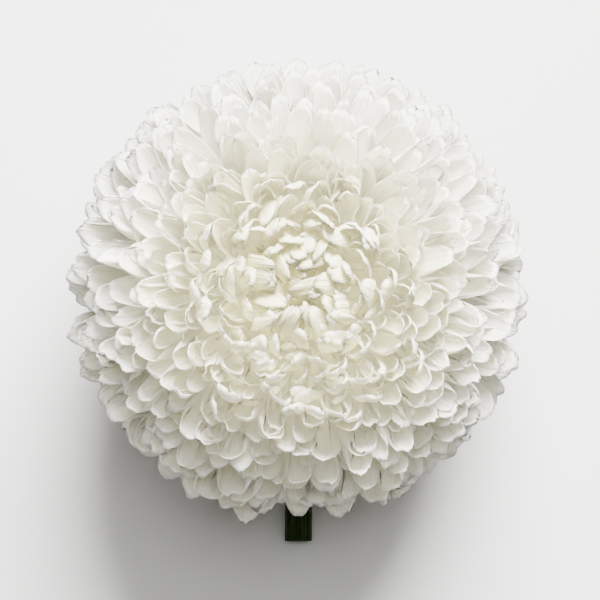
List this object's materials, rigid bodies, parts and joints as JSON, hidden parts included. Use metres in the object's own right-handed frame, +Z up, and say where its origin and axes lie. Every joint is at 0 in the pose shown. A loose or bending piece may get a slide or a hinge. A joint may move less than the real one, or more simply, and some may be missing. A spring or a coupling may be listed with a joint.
{
  "type": "disbud chrysanthemum",
  "caption": "Single cut ball-shaped white chrysanthemum bloom on a short green stem, laid on its back with its face up, for display, arrangement and table scenes.",
  "frame": {"origin": "on the surface that the flower lies on, below the middle of the whole flower", "axes": "+Z up, along the axis of the bloom, which faces up; the stem runs down to the surface along -Y"},
  "size_m": [0.1154, 0.1245, 0.1088],
  "materials": {
    "petal_white": "matte",
    "heart_cream": "matte",
    "stem_green": "satin",
    "bract_green": "matte",
    "seat_green": "matte"
  },
  "bodies": {
    "root": {"stem": "stem_green", "receptacle": "seat_green", "bracts_outer": "bract_green", "bracts_inner": "bract_green", "florets_heart": "heart_cream", "florets_whorl_01": "petal_white", "florets_whorl_02": "petal_white", "florets_whorl_03": "petal_white", "florets_whorl_04": "petal_white", "florets_whorl_05": "petal_white", "florets_whorl_06": "petal_white", "florets_whorl_07": "petal_white", "florets_whorl_08": "petal_white", "florets_whorl_09": "petal_white", "florets_whorl_10": "petal_white", "florets_whorl_11": "petal_white", "florets_whorl_12": "petal_white", "florets_whorl_13": "petal_white", "florets_whorl_14": "petal_white", "florets_whorl_15": "petal_white", "florets_whorl_16": "petal_white", "florets_whorl_17": "petal_white", "florets_whorl_18": "petal_white", "florets_whorl_19": "petal_white", "florets_whorl_20": "petal_white"}
  },
  "joints": []
}
